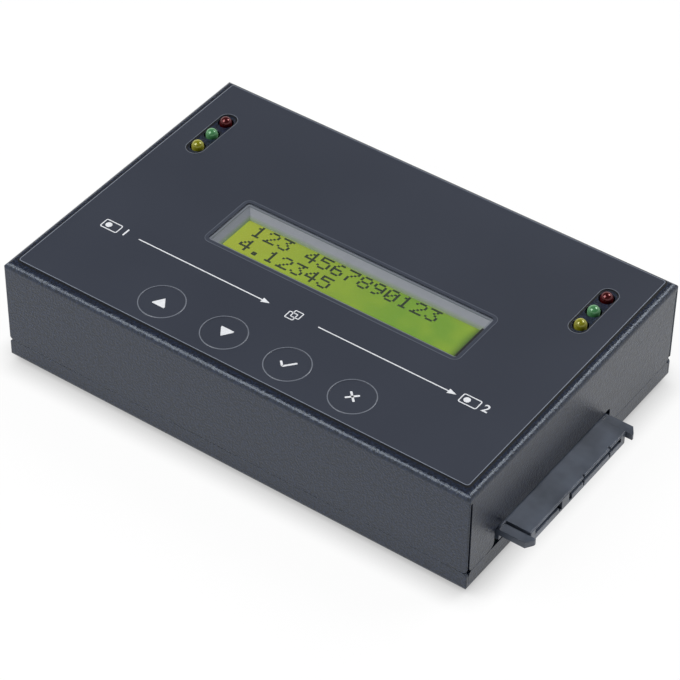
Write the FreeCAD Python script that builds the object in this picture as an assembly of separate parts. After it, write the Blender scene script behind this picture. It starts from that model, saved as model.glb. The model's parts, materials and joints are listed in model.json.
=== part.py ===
"""Stand-alone drive duplicator: a folded steel case with a membrane front panel, a two-line
character display, four keys, six indicator lamps, and a 22-pin drive receptacle at each end.

Frame: X along the case (source end at -X, target end at +X), Y from the front to the rear wall,
Z up. The origin is on the surface the feet stand on, under the middle of the case.
Every solid is in millimetres, and each named piece is written to its own STEP file.
"""
import FreeCAD
import Part
import math
import os

V = FreeCAD.Vector

# ---------------------------------------------------------------- case
case_length = 121.5
case_width = 80.8
case_height = 27.15
sheet = 0.8
bend_radius = 1.3
edge_radius = 0.3
tray_wall_height = 5.1
seam_gap = 0.12
slit_past_wall = 0.15
tray_slit = 0.1
mitre_lip = 0.25
slit_drop = 1.9
corner_notch = 1.2
foot_height = 1.0
foot_radius = 5.0
foot_inset_x = 13.0
foot_inset_y = 11.0

# tabs inside the tray that guide the cover down
tab_width = 10.0
tab_rise = 5.0
tab_clearance = 0.1
tab_front_spots = (-30.0, 30.0)
tab_rear_spots = (-38.0, 4.0)
tab_side_y = 24.0

# hexagonal pillars clinched under the cover, and the screws that hold the tray to them
pillar_flat = 5.5
pillar_inset_x = 4.75
pillar_inset_y = 5.0
case_screw_radius = 1.5
case_screw_length = 8.0
case_screw_head_radius = 2.75
case_screw_head_height = 0.7

# ---------------------------------------------------------------- front panel graphic sheet
overlay_thickness = 0.25
overlay_inset_left = 2.1
overlay_inset_right = 2.35
overlay_inset_front = 2.55
overlay_inset_rear = 1.35
overlay_corner = 0.7
panel_clearance = 0.05

window_x = 2.55
window_y = -0.4
window_width = 65.3
window_depth = 15.1
window_corner = 0.8
window_rim = 0.8

# ---------------------------------------------------------------- keys
key_count = 4
key_names = ("up", "down", "ok", "esc")
key_pitch = 16.6
key_row_x = -0.25
key_row_from_front = 10.1
key_radius = 5.1
key_rim_width = 0.22
key_rim_height = 0.1
key_gap = 0.15
key_hole_margin = 0.4
key_stem_radius = 3.0
key_travel = 0.3
tact_side = 6.0
tact_height = 3.5
tact_plunger_radius = 1.7
tact_plunger_clearance = 0.2
tact_plunger_seat = 0.8
tact_total_height = 5.0

# ---------------------------------------------------------------- display module
stud_length = 6.5
stud_radius = 2.3
stud_screw_radius = 1.15
stud_screw_length = 5.0
screw_clearance = 0.1
screw_head_ratio = 1.85
screw_head_height = 1.4
board_thickness = 1.6
display_board_width = 80.0
display_board_depth = 36.0
display_hole_inset = 2.5
bezel_width = 71.2
bezel_depth = 24.2
bezel_sheet = 0.4
collar_gap = 0.1
collar_lip = 0.4
collar_corner = 0.6
view_shift = 0.3
view_width = 61.6
view_depth = 10.0
view_drop = 1.4
glass_gap = 0.2
glass_thickness = 2.2
zebra_width = 2.0
backlight_width = 66.0
driver_blob_radius = 7.0
driver_blob_height = 1.3
driver_blob_offset = 16.0

# pin strips between the boards
pin_pitch = 2.54
pin_side = 0.6
strip_depth = 2.5
strip_height = 2.5
socket_height = 8.5
pin_engagement = 5.0
display_pins = 16
display_strip_x = -12.0
strip_edge_inset = 2.5
key_pins = 6

# ---------------------------------------------------------------- key board
key_board_margin_x = 5.5
key_board_front = 6.6
key_board_rear = 8.4

# ---------------------------------------------------------------- main board
board_standoff = 3.8
board_tab_gap = 0.3
board_pillar_gap = 0.6
standoff_radius = 2.75
main_screw_spots = ((-46.0, -32.0), (46.0, -32.0), (-44.0, 33.0), (44.0, 33.0))

# ---------------------------------------------------------------- drive receptacles
receptacle_y = -7.9
receptacle_reach = 6.35
receptacle_inboard = 7.0
receptacle_width = 37.1
receptacle_height = 3.5
slot_top_wall = 0.45
slot_height = 1.35
slot_depth = 5.6
signal_slot_width = 10.3
power_slot_width = 20.6
slot_web = 2.7
key_leg_width = 1.2
key_leg_drop = 1.0
notch_offsets = (2.0, 12.3)
notch_width = 0.5
post_span = 42.4
post_width = 2.3
post_low = 1.4
post_height = 1.6
post_reach = 7.8
post_bevel = 1.2
post_tip_width = 0.5
flange_proud = 0.3
flange_corner = 1.0
cutout_margin = 1.2
cutout_top_gap = 0.4
cutout_corner = 0.8
cutout_flare = 1.6
contact_pitch = 1.27
contact_width = 0.6
contact_thickness = 0.2
contact_clearance = 0.1
contact_tail = 2.0
contact_face_gap = 1.2
signal_contacts = 7
power_contacts = 15

# ---------------------------------------------------------------- indicator lamps
lamp_source_from_side = 9.25
lamp_target_from_side = 10.0
lamp_row_from_rear = 18.7
lamp_pitch = 5.26
lamp_radius = 1.42
lamp_flange_radius = 1.9
lamp_flange_height = 1.0
lamp_height = 5.3
lamp_rise = 1.3
lamp_hole_gap = 0.43
lamp_slot_width = 4.4
lamp_slot_length = 16.5
lamp_bore_clearance = 0.1
holder_width = 5.2
holder_end = 0.9
holder_top_gap = 0.3
lead_side = 0.5
lead_spacing = 1.27
lead_clearance = 0.15

# ---------------------------------------------------------------- rear wall
jack_x = 36.0
jack_width = 9.0
jack_length = 14.2
jack_height = 11.0
jack_axis_height = 6.5
jack_bore_radius = 3.15
jack_bore_depth = 9.5
jack_pin_radius = 1.0
jack_pin_setback = 1.0
jack_wall_gap = 0.2
jack_panel_hole_radius = 4.0
jack_spring_width = 2.0
jack_spring_thickness = 0.4

switch_x = 18.0
switch_height = 9.0
switch_body_width = 13.2
switch_body_height = 8.6
switch_body_depth = 12.0
switch_fit = 0.1
switch_flange_width = 15.0
switch_flange_height = 10.4
switch_flange_thickness = 1.6
switch_wall = 0.6
rocker_tilt = 7.0
rocker_side_gap = 0.2
rocker_radius = 5.8
rocker_pivot_depth = 3.0
rocker_dip = 3.0
rocker_top_angle = 38.0
rocker_skirt_angle = 25.0
rocker_leg_width = 2.4
rocker_leg_length = 2.0
trunnion_radius = 0.8
trunnion_length = 0.4
trunnion_clearance = 0.08
terminal_spacing = 5.0
terminal_width = 2.8
terminal_thickness = 0.5
terminal_length = 5.0
lead_radius = 0.8
lead_bend = 3.0
lead_run = 1.5
plug_width = 10.0
plug_depth = 5.8
plug_height = 5.5

# ---------------------------------------------------------------- parts on the main board
controller_side = 14.0
controller_height = 1.4
controller_at = (-8.0, -2.0)
controller_pins_per_side = 14
controller_pin_pitch = 0.8
memory_size = (5.0, 4.0, 1.5)
memory_at = (8.0, -4.0)
memory_pins_per_side = 4
memory_pin_pitch = 1.27
chip_pin_width = 0.35
chip_pin_reach = 1.0
chip_pin_thickness = 0.2
chip_standoff = 0.1
crystal_size = (11.0, 4.6, 3.5)
crystal_spots = ((-26.0, -2.0), (-26.0, -10.0))
capacitor_radius = 3.15
capacitor_height = 7.7
capacitor_base = 1.2
capacitor_spots = ((27.5, 24.0), (27.5, 16.0), (-30.0, 6.0))
inductor_side = 7.0
inductor_height = 4.2
inductor_corner = 1.8
inductor_spots = ((38.0, 15.0), (38.0, 6.0))
regulator_size = (6.5, 3.5, 1.7)
regulator_spots = ((28.0, 6.0), (28.0, -3.0))
regulator_tab = (3.0, 1.5, 0.6)
buzzer_radius = 4.5
buzzer_height = 5.5
buzzer_hole_radius = 0.8
buzzer_at = (-33.0, 27.0)
resistor_size = (1.6, 0.8, 0.5)
resistor_rows = ((-8.0, -14.0), (8.0, -14.0))
resistors_per_row = 5
resistor_pitch = 2.4

# ---------------------------------------------------------------- levels worked out from the above
half_length = case_length / 2
half_width = case_width / 2
tray_low = foot_height
floor_top = tray_low + sheet
tray_rim = tray_low + tray_wall_height
cover_rim = tray_rim + seam_gap
cover_top = tray_low + case_height
cover_under = cover_top - sheet
panel_top = cover_top + overlay_thickness
board_top = floor_top + board_standoff + board_thickness
upper_board_top = cover_under - stud_length
upper_board_low = upper_board_top - board_thickness
view_level = cover_under - view_drop
glass_top = view_level
glass_low = glass_top - glass_thickness
key_row_y = -half_width + key_row_from_front
lamp_row_y = half_width - lamp_row_from_rear
lamp_base = panel_top + lamp_rise - lamp_height
inner_rear = half_width - sheet
jack_face = inner_rear - jack_wall_gap
switch_z = board_top + switch_height


# ---------------------------------------------------------------- plain shapes
def box(x0, x1, y0, y1, z0, z1):
    return Part.makeBox(x1 - x0, y1 - y0, z1 - z0, V(x0, y0, z0))


def block(cx, cy, lx, ly, z0, z1):
    """A box centred on (cx, cy)."""
    return box(cx - lx / 2, cx + lx / 2, cy - ly / 2, cy + ly / 2, z0, z1)


def rod(cx, cy, radius, z0, z1):
    return Part.makeCylinder(radius, z1 - z0, V(cx, cy, z0))


def rod_y(cx, cz, radius, y0, y1):
    return Part.makeCylinder(radius, y1 - y0, V(cx, y0, cz), V(0, 1, 0))


def rounded_block(cx, cy, lx, ly, corner, z0, z1):
    """A box centred on (cx, cy) whose four upright edges are rounded."""
    body = block(cx, cy, lx, ly, z0, z1)
    upright = [e for e in body.Edges if abs(e.Vertexes[0].Z - e.Vertexes[1].Z) > 1e-6]
    return body.makeFillet(corner, upright)


def hexagon(cx, cy, flat, z0, z1):
    corner = flat / math.sqrt(3)
    turns = [math.radians(60 * i + 30) for i in range(7)]
    points = [V(cx + corner * math.cos(t), cy + corner * math.sin(t), z0) for t in turns]
    return Part.Face(Part.makePolygon(points)).extrude(V(0, 0, z1 - z0))


def prism(points, push):
    """A closed outline of points, pushed along a vector."""
    return Part.Face(Part.makePolygon(points + points[:1])).extrude(push)


def fused(shapes):
    body = shapes[0]
    for other in shapes[1:]:
        body = body.fuse(other)
    return body.removeSplitter()


def save(node, shape):
    """Write one node; a list of shapes is written as separate solids."""
    if isinstance(shape, list):
        shape = Part.makeCompound(shape)
    shape.exportStep("parts/" + node + ".step")


def corners(dx, dy):
    """The four points at (+-dx, +-dy)."""
    return [(sx * dx, sy * dy) for sx in (-1, 1) for sy in (-1, 1)]


# ---------------------------------------------------------------- folded sheet shells
def horizontal_edges(body, level):
    return [e for e in body.Edges
            if all(abs(v.Z - level) < 1e-6 for v in e.Vertexes)]


def bent_block(lx, ly, z0, z1, closed_at, radius, corner):
    """A block with its closed end's edges bent round and its upright edges eased."""
    body = block(0, 0, lx, ly, z0, z1)
    body = body.makeFillet(radius, horizontal_edges(body, closed_at))
    return body.common(rounded_block(0, 0, lx, ly, corner, z0, z1))


def folded_shell(z_low, z_high, closed_at):
    """A five-sided sheet shell, open at the end away from closed_at."""
    outer = bent_block(case_length, case_width, z_low, z_high, closed_at, bend_radius,
                       edge_radius)
    lid_is_up = closed_at == z_high
    inner_low = z_low - 1 if lid_is_up else z_low + sheet
    inner_high = z_high - sheet if lid_is_up else z_high + 1
    inner_closed = inner_high if lid_is_up else inner_low
    inner = bent_block(case_length - 2 * sheet, case_width - 2 * sheet, inner_low, inner_high,
                       inner_closed, bend_radius - sheet, edge_radius)
    return outer.cut(inner)


def tray_slits():
    """The closed-up seams beside the front and rear walls, in the tray's end walls."""
    y = half_width - sheet - tray_slit / 2
    return [block(sx * half_length, sy * y, 4 * sheet, tray_slit, tray_low + slit_drop,
                  tray_rim + 1) for sx, sy in corners(1, 1)]


def cover_slits():
    """The open corner seams of the cover; the front and rear walls' ends are mitred."""
    slits = []
    low = cover_rim - 1
    for sx, sy in corners(1, 1):
        lip = sy * (half_width - mitre_lip)
        back = sy * (half_width - sheet)
        side = back - sy * slit_past_wall
        end = sx * half_length
        mitre = sx * (half_length - sheet + mitre_lip)
        points = [V(end + sx, lip, low), V(end, lip, low), V(mitre, back, low),
                  V(end - 2 * sx * sheet, back, low), V(end - 2 * sx * sheet, side, low),
                  V(end + sx, side, low)]
        slits.append(prism(points, V(0, 0, cover_top - slit_drop - low)))
    return slits


def rim_notches(rim, into, edge, slit):
    """Round the free corners of all four walls where they meet the seam.

    into is +1 where the walls stand above the rim and -1 where they hang below it; edge is
    how far out the end walls reach along Y.
    """
    cuts = []
    r = corner_notch
    centre_z = rim + into * r
    z0, z1 = sorted((rim - into, centre_z))
    for sx, sy in corners(1, 1):
        x0, x1 = sorted((sx * (half_length - r), sx * (half_length + 1)))
        y = sy * half_width
        y0, y1 = sorted((y - sy * sheet * 1.01, y + sy))
        wall_end = box(x0, x1, y0, y1, z0, z1)
        cuts.append(wall_end.cut(rod_y(sx * (half_length - r), centre_z, r, y0 - 1, y1 + 1)))
        y0, y1 = sorted((sy * (edge - r), sy * (edge + slit)))
        x0, x1 = sorted((sx * (half_length - 1.01 * sheet), sx * (half_length + 1)))
        side_end = box(x0, x1, y0, y1, z0, z1)
        roller = Part.makeCylinder(r, x1 - x0 + 2, V(x0 - 1, sy * (edge - r), centre_z), V(1, 0, 0))
        cuts.append(side_end.cut(roller))
    return cuts


def pillar_spots():
    return corners(half_length - pillar_inset_x, half_width - pillar_inset_y)


def base_tray():
    tray = folded_shell(tray_low, tray_rim, tray_low)
    tray = tray.cut(tray_slits())
    tray = tray.cut(rim_notches(tray_rim, -1, half_width - sheet - tray_slit, tray_slit))
    reach_y = half_width - sheet - tab_clearance - sheet / 2
    reach_x = half_length - sheet - tab_clearance - sheet / 2
    tab_top = tray_rim + tab_rise
    tabs = [block(x, -reach_y, tab_width, sheet, floor_top, tab_top) for x in tab_front_spots]
    tabs += [block(x, reach_y, tab_width, sheet, floor_top, tab_top) for x in tab_rear_spots]
    tabs += [block(sx * reach_x, tab_side_y, sheet, tab_width, floor_top, tab_top)
             for sx in (-1, 1)]
    tray = fused([tray] + tabs)
    holes = [rod(x, y, case_screw_radius + screw_clearance, tray_low - 1, floor_top + 1)
             for x, y in pillar_spots()]
    return tray.cut(holes)


def receptacle_cutout():
    """The notch in the target end's wall, open to the seam."""
    half = post_span / 2 + cutout_margin
    top = board_top + receptacle_height + cutout_top_gap
    reach = 2 * sheet
    x0 = half_length - reach
    notch = block(half_length, receptacle_y, 2 * reach, 2 * half, cover_rim - 1, top)
    top_edges = [e for e in notch.Edges
                 if abs(e.Vertexes[0].X - e.Vertexes[1].X) > 1e-6
                 and all(abs(v.Z - top) < 1e-6 for v in e.Vertexes)]
    notch = notch.makeFillet(cutout_corner, top_edges)
    flares = []
    for side in (-1, 1):
        y = receptacle_y + side * (half + cutout_flare)
        z = cover_rim + cutout_flare
        y0, y1 = sorted((y, y - side * cutout_flare))
        flare = box(x0, x0 + 2 * reach, y0, y1, cover_rim - 1, z)
        roller = Part.makeCylinder(cutout_flare, 2 * reach + 2, V(x0 - 1, y, z), V(1, 0, 0))
        flares.append(flare.cut(roller))
    return fused([notch] + flares)


def end_to_end(shape):
    """Turn a target-end shape to the source end, half a turn about the connectors' middle."""
    turned = shape.copy()
    turned.rotate(V(0, receptacle_y, 0), V(0, 0, 1), 180)
    return turned


def key_spots():
    start = key_row_x - (key_count - 1) * key_pitch / 2
    return [(start + i * key_pitch, key_row_y) for i in range(key_count)]


def lamp_slot_spots():
    return ((-half_length + lamp_source_from_side, lamp_row_y),
            (half_length - lamp_target_from_side, lamp_row_y))


def lamp_slot(cx, cy, z0, z1):
    return rounded_block(cx, cy, lamp_slot_width, lamp_slot_length,
                         lamp_slot_width / 2 - 0.01, z0, z1)


def top_cover():
    cover = folded_shell(cover_rim, cover_top, cover_top)
    cover = cover.cut(cover_slits())
    side_end = half_width - sheet - slit_past_wall
    cover = cover.cut(rim_notches(cover_rim, 1, side_end, half_width - mitre_lip - side_end))
    notch = receptacle_cutout()
    z0 = cover_under - 1
    z1 = cover_top + 1
    cuts = [notch, end_to_end(notch)]
    cuts.append(rounded_block(window_x, window_y, window_width, window_depth, window_corner,
                              z0, z1))
    hole = key_radius + key_gap + key_hole_margin
    cuts += [rod(x, y, hole, z0, z1) for x, y in key_spots()]
    cuts += [rod(x, y, lamp_radius + lamp_hole_gap, z0, z1)
             for row in range(3) for x, y in lamp_spots(row)]
    cuts.append(rod_y(jack_x, board_top + jack_axis_height, jack_panel_hole_radius,
                      inner_rear - 1, half_width + 1))
    cuts.append(box(switch_x - switch_body_width / 2 - switch_fit,
                    switch_x + switch_body_width / 2 + switch_fit,
                    inner_rear - 1, half_width + 1,
                    switch_z - switch_body_height / 2 - switch_fit,
                    switch_z + switch_body_height / 2 + switch_fit))
    return cover.cut(cuts)


def rubber_feet():
    spots = corners(half_length - foot_inset_x, half_width - foot_inset_y)
    feet = []
    for x, y in spots:
        foot = rod(x, y, foot_radius, 0, foot_height)
        feet.append(foot.makeChamfer(foot_height * 0.4, horizontal_edges(foot, 0)))
    return feet


def cover_pillars():
    bore = case_screw_radius + screw_clearance
    depth = case_screw_length + screw_clearance
    return [hexagon(x, y, pillar_flat, floor_top, cover_under)
            .cut(rod(x, y, bore, floor_top - 1, floor_top + depth))
            for x, y in pillar_spots()]


def screw(x, y, seat, direction, radius, length, head_radius, head_height):
    """A screw whose head bears on the level seat; direction is where its shank goes in Z."""
    shank = rod(x, y, radius, *sorted((seat, seat + direction * length)))
    head = rod(x, y, head_radius, *sorted((seat, seat - direction * head_height)))
    head = head.makeChamfer(head_height * 0.35, horizontal_edges(head, seat - direction * head_height))
    return fused([shank, head])


def case_screws():
    return [screw(x, y, tray_low, 1, case_screw_radius, case_screw_length,
                  case_screw_head_radius, case_screw_head_height)
            for x, y in pillar_spots()]


# ---------------------------------------------------------------- front panel
def graphic_overlay():
    x0 = -half_length + overlay_inset_left
    x1 = half_length - overlay_inset_right
    y0 = -half_width + overlay_inset_front
    y1 = half_width - overlay_inset_rear
    sheet_body = rounded_block((x0 + x1) / 2, (y0 + y1) / 2, x1 - x0, y1 - y0, overlay_corner,
                               cover_top, panel_top)
    z0 = cover_top - 1
    z1 = panel_top + 1
    opening = 2 * (window_rim + panel_clearance)
    cuts = [rounded_block(window_x, window_y, window_width + opening, window_depth + opening,
                          window_corner + window_rim, z0, z1)]
    cuts += [rod(x, y, key_radius + key_gap, z0, z1) for x, y in key_spots()]
    cuts += [lamp_slot(x, y, z0, z1) for x, y in lamp_slot_spots()]
    return sheet_body.cut(cuts)


def display_window():
    return rounded_block(window_x, window_y, window_width + 2 * window_rim,
                         window_depth + 2 * window_rim, window_corner + window_rim,
                         cover_top, panel_top)


def key_cap(x, y):
    """The domed patch of the panel with its raised rim, and the stem under it."""
    rim_in = key_radius - key_rim_width
    seat = upper_board_top + tact_total_height
    profile = [V(0, 0, seat), V(key_stem_radius, 0, seat), V(key_stem_radius, 0, cover_top),
               V(key_radius, 0, cover_top), V(key_radius, 0, panel_top),
               V(key_radius - key_rim_width / 3, 0, panel_top + key_rim_height),
               V(rim_in + key_rim_width / 3, 0, panel_top + key_rim_height),
               V(rim_in, 0, panel_top), V(0, 0, panel_top)]
    face = Part.Face(Part.makePolygon(profile + profile[:1]))
    cap = face.revolve(V(0, 0, 0), V(0, 0, 1), 360)
    cap.translate(V(x, y, 0))
    return cap


def switch_plunger(x, y):
    low = upper_board_top + tact_height - tact_plunger_seat
    return rod(x, y, tact_plunger_radius, low, upper_board_top + tact_total_height)


def key_switches():
    """Four tact switch housings, each with the well its plunger sinks into."""
    bodies = []
    top = upper_board_top + tact_height
    well = top - tact_plunger_seat - 2 * key_travel
    for x, y in key_spots():
        body = rounded_block(x, y, tact_side, tact_side, 0.6, upper_board_top, top)
        hole = rod(x, y, tact_plunger_radius + tact_plunger_clearance, well, top + 1)
        bodies.append(body.cut(hole))
    return bodies


def between_keys():
    """Screw spots of the key board: between the first two keys and between the last two."""
    spots = key_spots()
    return [((spots[i][0] + spots[i + 1][0]) / 2, key_row_y) for i in (0, key_count - 2)]


def key_board():
    spots = key_spots()
    x0 = spots[0][0] - key_board_margin_x
    x1 = spots[-1][0] + key_board_margin_x
    board = box(x0, x1, key_row_y - key_board_front, key_row_y + key_board_rear,
                upper_board_low, upper_board_top)
    return board.cut([board_hole(x, y) for x, y in between_keys()])


# ---------------------------------------------------------------- display module
def display_screw_spots():
    return [(window_x + x, window_y + y)
            for x, y in corners(display_board_width / 2 - display_hole_inset,
                                display_board_depth / 2 - display_hole_inset)]


def board_hole(x, y):
    return rod(x, y, stud_screw_radius + screw_clearance, upper_board_low - 1,
               upper_board_top + 1)


def panel_studs(spots):
    """Threaded studs clinched under the cover, tapped from below."""
    bore = stud_screw_radius + screw_clearance
    depth = stud_screw_length - board_thickness + screw_clearance
    return [rod(x, y, stud_radius, upper_board_top, cover_under)
            .cut(rod(x, y, bore, upper_board_top - 1, upper_board_top + depth))
            for x, y in spots]


def stud_screws(spots):
    return [screw(x, y, upper_board_low, 1, stud_screw_radius, stud_screw_length,
                  stud_screw_radius * screw_head_ratio, screw_head_height)
            for x, y in spots]


def lcd_board():
    board = block(window_x, window_y, display_board_width, display_board_depth,
                  upper_board_low, upper_board_top)
    return board.cut([board_hole(x, y) for x, y in display_screw_spots()])


def rounded_wire(cx, lx, ly, corner, z):
    """A rectangle with arcs at its corners, level with z and on the window's middle line."""
    plate = rounded_block(cx, window_y, lx, ly, corner, z, z + 1)
    face = [f for f in plate.Faces if all(abs(v.Z - z) < 1e-6 for v in f.Vertexes)][0]
    return face.OuterWire


def funnel(grow, z0, z1):
    """The sloping frame between the collar in the cover's window and the visible area."""
    inside = 2 * (collar_gap + bezel_sheet - grow)
    lower = rounded_wire(window_x + view_shift, view_width + 2 * grow, view_depth + 2 * grow,
                         0.4, z0)
    upper = rounded_wire(window_x, window_width - inside, window_depth - inside, 0.4, z1)
    return Part.makeLoft([lower, upper], True, True)


def lcd_bezel():
    """Pressed can over the glass: flat top, a collar up in the cover's window, and a
    funnel from the collar down to the visible area."""
    can = rounded_block(window_x, window_y, bezel_width, bezel_depth, 0.8, upper_board_top,
                        cover_under)
    inside = block(window_x, window_y, bezel_width - 2 * bezel_sheet,
                   bezel_depth - 2 * bezel_sheet, upper_board_top - 1,
                   cover_under - bezel_sheet)
    collar_top = cover_top - collar_gap
    shoulder = collar_top - collar_lip
    collar_width = window_width - 2 * collar_gap
    collar_depth = window_depth - 2 * collar_gap
    collar = rounded_block(window_x, window_y, collar_width, collar_depth, collar_corner,
                           cover_under - bezel_sheet, collar_top)
    mouth = rounded_block(window_x, window_y, collar_width - 2 * bezel_sheet,
                          collar_depth - 2 * bezel_sheet, 0.4, shoulder, collar_top + 1)
    shell = fused([can.cut(inside), collar, funnel(bezel_sheet, view_level, cover_under)])
    return shell.cut([mouth, funnel(0, view_level, shoulder),
                      block(window_x + view_shift, window_y, view_width, view_depth,
                            view_level - 1, view_level + 0.01)])


def lcd_glass():
    gap = 2 * (bezel_sheet + glass_gap)
    return block(window_x, window_y, bezel_width - gap, bezel_depth - gap, glass_low, glass_top)


def zebra_offset():
    return bezel_depth / 2 - bezel_sheet - glass_gap - zebra_width / 2


def lcd_zebra_strips():
    return [block(window_x, window_y + side * zebra_offset(), backlight_width, zebra_width,
                  upper_board_top, glass_low) for side in (-1, 1)]


def lcd_backlight():
    depth = 2 * (zebra_offset() - zebra_width / 2 - glass_gap)
    return block(window_x, window_y, backlight_width, depth, upper_board_top, glass_low)


def lcd_driver_blobs():
    """Two epoxy domes over the bare driver chips, under the display's board."""
    blobs = []
    r = driver_blob_radius
    h = driver_blob_height
    ball = (r * r + h * h) / (2 * h)
    for side in (-1, 1):
        x = window_x + side * driver_blob_offset
        sphere = Part.makeSphere(ball, V(x, window_y, upper_board_low - h + ball))
        blobs.append(sphere.common(block(x, window_y, 2 * r, 2 * r, upper_board_low - h,
                                         upper_board_low)))
    return blobs


# ---------------------------------------------------------------- pin strips between boards
def pin_spots(cx, cy, count):
    start = cx - (count - 1) * pin_pitch / 2
    return [(start + i * pin_pitch, cy) for i in range(count)]


def display_strip():
    y = window_y + display_board_depth / 2 - strip_edge_inset
    return pin_spots(display_strip_x, y, display_pins)


def key_strip():
    spots = key_spots()
    x = (spots[0][0] + spots[-1][0]) / 2
    return pin_spots(x, key_row_y + key_board_rear - strip_edge_inset, key_pins)


def strip_block(spots, z0, z1, holes_from):
    """A moulded strip over a row of pins, with a square hole for each from holes_from up."""
    x = (spots[0][0] + spots[-1][0]) / 2
    y = spots[0][1]
    body = block(x, y, len(spots) * pin_pitch, strip_depth, z0, z1)
    hole = pin_side + 2 * screw_clearance
    return body.cut([block(px, py, hole, hole, holes_from, z1 + 1) for px, py in spots])


def strip_headers():
    return [strip_block(spots, upper_board_low - strip_height, upper_board_low,
                        upper_board_low - strip_height - 1)
            for spots in (display_strip(), key_strip())]


def strip_sockets():
    top = board_top + socket_height
    return [strip_block(spots, board_top, top, top - pin_engagement - 0.5)
            for spots in (display_strip(), key_strip())]


def strip_pins():
    low = board_top + socket_height - pin_engagement
    return [block(x, y, pin_side, pin_side, low, upper_board_low)
            for x, y in display_strip() + key_strip()]


# ---------------------------------------------------------------- main board
def main_board():
    edge = 2 * sheet + tab_clearance + board_tab_gap
    board = block(0, 0, case_length - 2 * edge, case_width - 2 * edge,
                  board_top - board_thickness, board_top)
    clear = pillar_flat / math.sqrt(3) + board_pillar_gap
    notches = [block(px, py, 2 * (pillar_inset_x + clear), 2 * (pillar_inset_y + clear),
                     board_top - 2 * board_thickness, board_top + 1)
               for px, py in corners(half_length, half_width)]
    holes = [rod(sx, sy, stud_screw_radius + screw_clearance, board_top - 2 * board_thickness,
                 board_top + 1) for sx, sy in main_screw_spots]
    return board.cut(notches + holes)


def board_standoffs():
    top = board_top - board_thickness
    bore = stud_screw_radius + screw_clearance
    return [rod(x, y, standoff_radius, floor_top, top).cut(rod(x, y, bore, floor_top - 1, top + 1))
            for x, y in main_screw_spots]


def board_screws():
    length = board_thickness + board_standoff - screw_clearance
    return [screw(x, y, board_top, -1, stud_screw_radius, length,
                  stud_screw_radius * screw_head_ratio, screw_head_height)
            for x, y in main_screw_spots]


# ---------------------------------------------------------------- drive receptacles
def slot_edges():
    """(signal low, signal high, power low, power high), along Y."""
    total = signal_slot_width + slot_web + power_slot_width
    low = receptacle_y - total / 2
    split = low + signal_slot_width
    return low, split, split + slot_web, low + total


def contact_spots():
    signal_low, signal_high, power_low, power_high = slot_edges()
    spots = []
    for low, high, count in ((signal_low, signal_high, signal_contacts),
                             (power_low, power_high, power_contacts)):
        start = (low + high) / 2 - (count - 1) * contact_pitch / 2
        spots += [start + i * contact_pitch for i in range(count)]
    return spots


def guide_post(side):
    """One guide post, bevelled from its outer side to its tip; side is -1 for the front one
    and +1 for the rear one."""
    outer = receptacle_y + side * post_span / 2
    inner = outer - side * post_width
    tip = half_length + post_reach
    root = half_length - receptacle_inboard
    low = board_top + post_low
    points = [V(root, outer, low), V(tip - post_bevel, outer, low),
              V(tip, inner + side * post_tip_width, low), V(tip, inner, low),
              V(root, inner, low)]
    return prism(points, V(0, 0, post_height))


def receptacle():
    """22-pin drive receptacle of the target end, lying on the main board's edge."""
    back = half_length - receptacle_inboard
    face = half_length + receptacle_reach
    top = board_top + receptacle_height
    nose = block((back + face) / 2, receptacle_y, face - back, receptacle_width, board_top, top)
    mouth_edges = [e for e in nose.Edges if all(abs(v.X - face) < 1e-6 for v in e.Vertexes)]
    nose = nose.makeChamfer(0.2, mouth_edges)
    flange = box(back, half_length + flange_proud, receptacle_y - post_span / 2,
                 receptacle_y + post_span / 2, board_top, top)
    flange_ends = [e for e in horizontal_edges(flange, top)
                   if abs(e.Vertexes[0].X - e.Vertexes[1].X) > 1e-6]
    flange = flange.makeFillet(flange_corner, flange_ends)
    body = fused([nose, flange, guide_post(-1), guide_post(1)])

    slot_top = top - slot_top_wall
    slot_low = slot_top - slot_height
    end = face - slot_depth
    signal_low, signal_high, power_low, power_high = slot_edges()
    cuts = [box(end, face + 1, signal_low, signal_high, slot_low, slot_top),
            box(end, face + 1, power_low, power_high, slot_low, slot_top),
            box(end, face + 1, signal_high - key_leg_width, signal_high,
                slot_low - key_leg_drop, slot_top),
            box(end, face + 1, power_low, power_low + key_leg_width,
                slot_low - key_leg_drop, slot_top)]
    for offset in notch_offsets:
        cuts.append(block(face, receptacle_y + offset, 1.2, notch_width, slot_low - key_leg_drop,
                          top + 1))
    groove = contact_width + 2 * contact_clearance
    for y in contact_spots():
        cuts.append(box(back - 1, face - contact_face_gap, y - groove / 2, y + groove / 2,
                        board_top - 1, slot_low + 0.01))
    return body.cut(cuts)


def contacts():
    """Spring contacts: a solder tail on the board, a riser, and a blade along the slot."""
    back = half_length - receptacle_inboard
    tip = half_length + receptacle_reach - contact_face_gap - contact_clearance
    top = board_top + receptacle_height - slot_top_wall - slot_height
    t = contact_thickness
    riser = back + 0.3
    strips = []
    for y in contact_spots():
        y0 = y - contact_width / 2
        points = [V(back - contact_tail, y0, board_top), V(riser + t, y0, board_top),
                  V(riser + t, y0, top - t), V(tip, y0, top - t), V(tip, y0, top),
                  V(riser, y0, top), V(riser, y0, board_top + t),
                  V(back - contact_tail, y0, board_top + t)]
        strips.append(prism(points, V(0, contact_width, 0)))
    return strips


# ---------------------------------------------------------------- indicator lamps
def lamp_spots(row):
    """Both ends' lamps of one row: 0 is the front one of each slot and 2 the rear one."""
    return [(x, y + (row - 1) * lamp_pitch) for x, y in lamp_slot_spots()]


def lamp(x, y):
    dome = panel_top + lamp_rise - lamp_radius
    flange = rod(x, y, lamp_flange_radius, lamp_base, lamp_base + lamp_flange_height)
    barrel = rod(x, y, lamp_radius, lamp_base, dome)
    cap = Part.makeSphere(lamp_radius, V(x, y, dome))
    return fused([flange, barrel, cap])


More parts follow.
